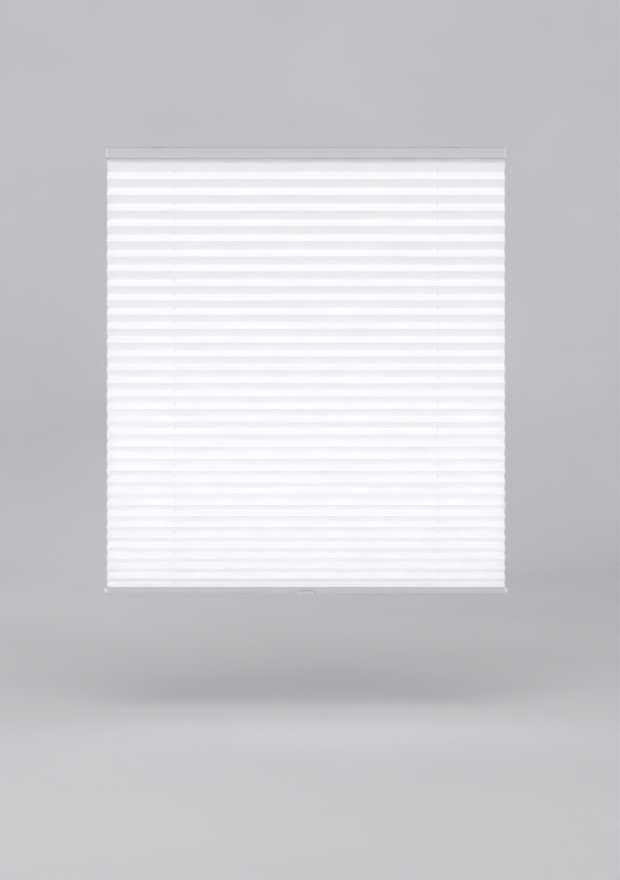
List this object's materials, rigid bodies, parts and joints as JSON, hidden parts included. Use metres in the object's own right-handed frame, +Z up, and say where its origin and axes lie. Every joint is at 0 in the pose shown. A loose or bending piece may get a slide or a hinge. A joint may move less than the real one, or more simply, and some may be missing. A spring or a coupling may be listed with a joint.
{
  "type": "pleated blind",
  "caption": "Cordless pleated window blind: head rail with a hidden spring winder, pleated cloth, and a sliding bottom rail with a finger grip that stays where it is put.",
  "frame": {"origin": "middle of the plane that the two brackets are screwed to, on the line through their screw holes", "axes": "+X to the right seen from the room, +Y towards the glass, +Z up; the blind hangs down from the origin"},
  "size_m": [0.8252, 0.0335, 0.9107],
  "materials": {
    "pleat_cloth": "fine plain weave, matt, stiffened to hold its folds",
    "rail_aluminium": "satin anodised, pale silver grey",
    "cap_plastic": "fine satin, light grey",
    "grip_plastic": "fine satin, mid grey",
    "bracket_steel": "zinc plated",
    "housing_plastic": "moulded, light grey",
    "wheel_plastic": "moulded, off-white",
    "strip_plastic": "extruded, white",
    "fastener_steel": "bright zinc",
    "spring_steel": "polished, blue grey",
    "cord_fibre": "braided, white"
  },
  "bodies": {
    "head": {"head_rail": "rail_aluminium", "head_cap_left": "cap_plastic", "head_cap_right": "cap_plastic", "bracket_left": "bracket_steel", "bracket_right": "bracket_steel", "motor_base": "housing_plastic", "motor_cover": "housing_plastic", "motor_screws": "fastener_steel", "wheel_axles": "fastener_steel", "spring_band": "spring_steel", "roller_cradle_left": "wheel_plastic", "roller_cradle_right": "wheel_plastic", "roller_pin_left": "fastener_steel", "roller_pin_right": "fastener_steel", "head_fabric_strip": "strip_plastic", "pleated_fabric": "pleat_cloth", "lift_cord_left": "cord_fibre", "lift_cord_right": "cord_fibre"},
    "lower_rail": {"bottom_rail": "rail_aluminium", "bottom_cap_left": "cap_plastic", "bottom_cap_right": "cap_plastic", "bottom_fabric_strip": "strip_plastic", "finger_grip": "grip_plastic", "cord_anchor_left": "wheel_plastic", "cord_anchor_right": "wheel_plastic"},
    "left_spool": {"cord_spool_left": "wheel_plastic", "cord_winding_left": "cord_fibre"},
    "spring_wheel": {"spring_drum": "wheel_plastic"},
    "storage_wheel": {"storage_drum": "wheel_plastic"},
    "right_spool": {"cord_spool_right": "wheel_plastic", "cord_winding_right": "cord_fibre"},
    "left_roller": {"guide_roller_left": "wheel_plastic"},
    "right_roller": {"guide_roller_right": "wheel_plastic"}
  },
  "joints": [
    {"name": "bottom_rail_slide", "type": "slide", "parent": "head", "child": "lower_rail", "axis": [0, 0, 1], "range_m": [-0.24, 0.83], "deforming": ["pleated_fabric", "lift_cord_left", "lift_cord_right"]},
    {"name": "left_spool_turn", "type": "hinge", "parent": "head", "child": "left_spool", "pos_m": [-0.0255, 0, -0.0097], "axis": [0, 0, 1], "range_deg": [-7609.9, 2201.2]},
    {"name": "spring_drum_turn", "type": "hinge", "parent": "head", "child": "spring_wheel", "pos_m": [-0.0085, 0, -0.0097], "axis": [0, 0, 1], "range_deg": [-2201.2, 7609.9]},
    {"name": "storage_drum_turn", "type": "hinge", "parent": "head", "child": "storage_wheel", "pos_m": [0.0085, 0, -0.0097], "axis": [0, 0, 1], "range_deg": [-7609.9, 2201.2]},
    {"name": "right_spool_turn", "type": "hinge", "parent": "head", "child": "right_spool", "pos_m": [0.0255, 0, -0.0097], "axis": [0, 0, 1], "range_deg": [-2201.2, 7609.9]},
    {"name": "left_roller_turn", "type": "hinge", "parent": "head", "child": "left_roller", "pos_m": [-0.26605, 0.00625, -0.01005], "axis": [0, 1, 0], "range_deg": [-3482.3, 12040.4]},
    {"name": "right_roller_turn", "type": "hinge", "parent": "head", "child": "right_roller", "pos_m": [0.26605, 0.00625, -0.01005], "axis": [0, 1, 0], "range_deg": [-12040.4, 3482.3]}
  ],
  "couplings": [
    {"joint": "left_spool_turn", "follows": "bottom_rail_slide", "rad_per_m": -160},
    {"joint": "spring_drum_turn", "follows": "bottom_rail_slide", "rad_per_m": 160},
    {"joint": "storage_drum_turn", "follows": "bottom_rail_slide", "rad_per_m": -160},
    {"joint": "right_spool_turn", "follows": "bottom_rail_slide", "rad_per_m": 160},
    {"joint": "left_roller_turn", "follows": "bottom_rail_slide", "rad_per_m": 253.16},
    {"joint": "right_roller_turn", "follows": "bottom_rail_slide", "rad_per_m": -253.16}
  ]
}
